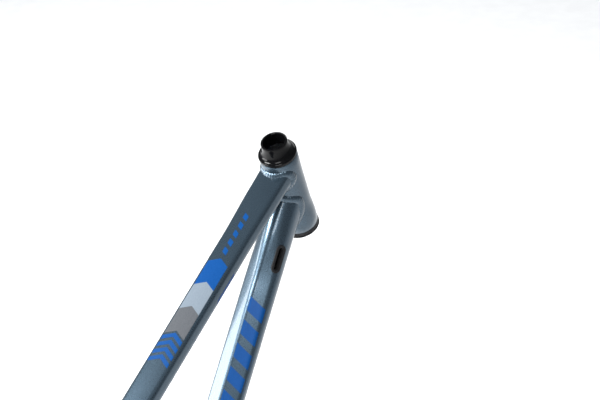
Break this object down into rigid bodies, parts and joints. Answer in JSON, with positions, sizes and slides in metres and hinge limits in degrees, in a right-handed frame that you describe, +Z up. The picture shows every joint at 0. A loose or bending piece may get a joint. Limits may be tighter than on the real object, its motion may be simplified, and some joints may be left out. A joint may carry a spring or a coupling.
{
  "type": "bicycle frame",
  "caption": "Hardtail mountain bicycle frame of shaped alloy tubes with headset bearings, sealed bottom bracket, quick-release seat clamp and slotted rear dropouts.",
  "frame": {"origin": "centre of the bottom bracket axis, on the frame's middle plane", "axes": "+X forward towards the head tube, +Y to the rider's left, +Z up; level ground is parallel to the XY plane"},
  "size_m": [0.9009, 0.1616, 0.6603],
  "materials": {
    "slate_paint": "slate blue metallic gloss paint over aluminium alloy",
    "black_alloy": "black anodised, satin",
    "gloss_black": "gloss black",
    "steel": "ground, bright",
    "zinc_steel": "zinc plated",
    "ball_steel": "polished",
    "rubber": "matte"
  },
  "bodies": {
    "frame": {"head_tube": "slate_paint", "top_tube": "slate_paint", "down_tube": "slate_paint", "seat_tube": "slate_paint", "bottom_bracket_shell": "slate_paint", "chainstay_left": "slate_paint", "chainstay_right": "slate_paint", "seatstay_left": "slate_paint", "seatstay_right": "slate_paint", "chainstay_bridge": "slate_paint", "seatstay_bridge": "slate_paint", "dropout_left": "slate_paint", "dropout_right": "slate_paint", "disc_brake_mount": "slate_paint", "chainstay_cable_stop": "slate_paint", "derailleur_hanger": "black_alloy", "headset_upper_cup": "black_alloy", "headset_lower_cup": "black_alloy", "bracket_cup_right": "black_alloy", "bracket_cup_left": "black_alloy", "seat_clamp_collar": "black_alloy", "clamp_cam_washer": "black_alloy", "bracket_race_left": "steel", "bracket_race_right": "steel", "hanger_bolt_front": "zinc_steel", "hanger_bolt_rear": "zinc_steel", "bracket_cartridge_sleeve": "zinc_steel", "down_tube_bottle_insert_lower": "zinc_steel", "down_tube_bottle_insert_upper": "zinc_steel", "seat_tube_bottle_insert_lower": "zinc_steel", "seat_tube_bottle_insert_upper": "zinc_steel", "bracket_seal_left": "rubber", "bracket_seal_right": "rubber", "cable_port_grommet": "rubber", "cable_exit_grommet": "rubber"},
    "steerer_parts": {"headset_top_cover": "gloss_black", "headset_compression_ring": "steel", "headset_upper_cone": "steel", "headset_crown_race": "steel", "headset_lower_seal": "rubber"},
    "upper_ball_ring": {"headset_upper_ball_retainer": "ball_steel"},
    "lower_ball_ring": {"headset_lower_ball_retainer": "ball_steel"},
    "crank_spindle": {"bracket_spindle": "steel"},
    "bracket_ball_rings": {"bracket_ball_retainer_left": "ball_steel", "bracket_ball_retainer_right": "ball_steel"},
    "clamp_bolt": {"clamp_skewer": "steel"},
    "quick_release_lever": {"clamp_lever": "black_alloy", "clamp_pivot_pin": "steel"},
    "thumb_nut": {"clamp_nut": "black_alloy"}
  },
  "joints": [
    {"name": "steering", "type": "hinge", "parent": "frame", "child": "steerer_parts", "pos_m": [0.385, 0, 0.612], "axis": [-0.3338, 0, 0.9426], "continuous": true},
    {"name": "upper_ball_ring_turn", "type": "hinge", "parent": "frame", "child": "upper_ball_ring", "pos_m": [0.385, 0, 0.612], "axis": [-0.3338, 0, 0.9426], "continuous": true},
    {"name": "lower_ball_ring_turn", "type": "hinge", "parent": "frame", "child": "lower_ball_ring", "pos_m": [0.385, 0, 0.612], "axis": [-0.3338, 0, 0.9426], "continuous": true},
    {"name": "spindle_spin", "type": "hinge", "parent": "frame", "child": "crank_spindle", "pos_m": [0, 0, 0], "axis": [0, 1, 0], "continuous": true},
    {"name": "bracket_ball_rings_turn", "type": "hinge", "parent": "frame", "child": "bracket_ball_rings", "pos_m": [0, 0, 0], "axis": [0, 1, 0], "continuous": true},
    {"name": "lever_swing", "type": "hinge", "parent": "clamp_bolt", "child": "quick_release_lever", "pos_m": [-0.14022, 0.0179, 0.36631], "axis": [-0.2924, 0, 0.9563], "range_deg": [0, 150]},
    {"name": "clamp_bolt_slide", "type": "slide", "parent": "frame", "child": "clamp_bolt", "axis": [0, -1, 0], "range_m": [0, 0.0012]},
    {"name": "thumb_nut_turn", "type": "hinge", "parent": "clamp_bolt", "child": "thumb_nut", "pos_m": [-0.14022, 0, 0.36631], "axis": [0, 1, 0], "continuous": true}
  ],
  "couplings": [
    {"joint": "upper_ball_ring_turn", "follows": "steering", "ratio": 0.445},
    {"joint": "lower_ball_ring_turn", "follows": "steering", "ratio": 0.447},
    {"joint": "bracket_ball_rings_turn", "follows": "spindle_spin", "ratio": 0.411},
    {"joint": "clamp_bolt_slide", "follows": "lever_swing", "m_per_rad": 0.00042}
  ]
}
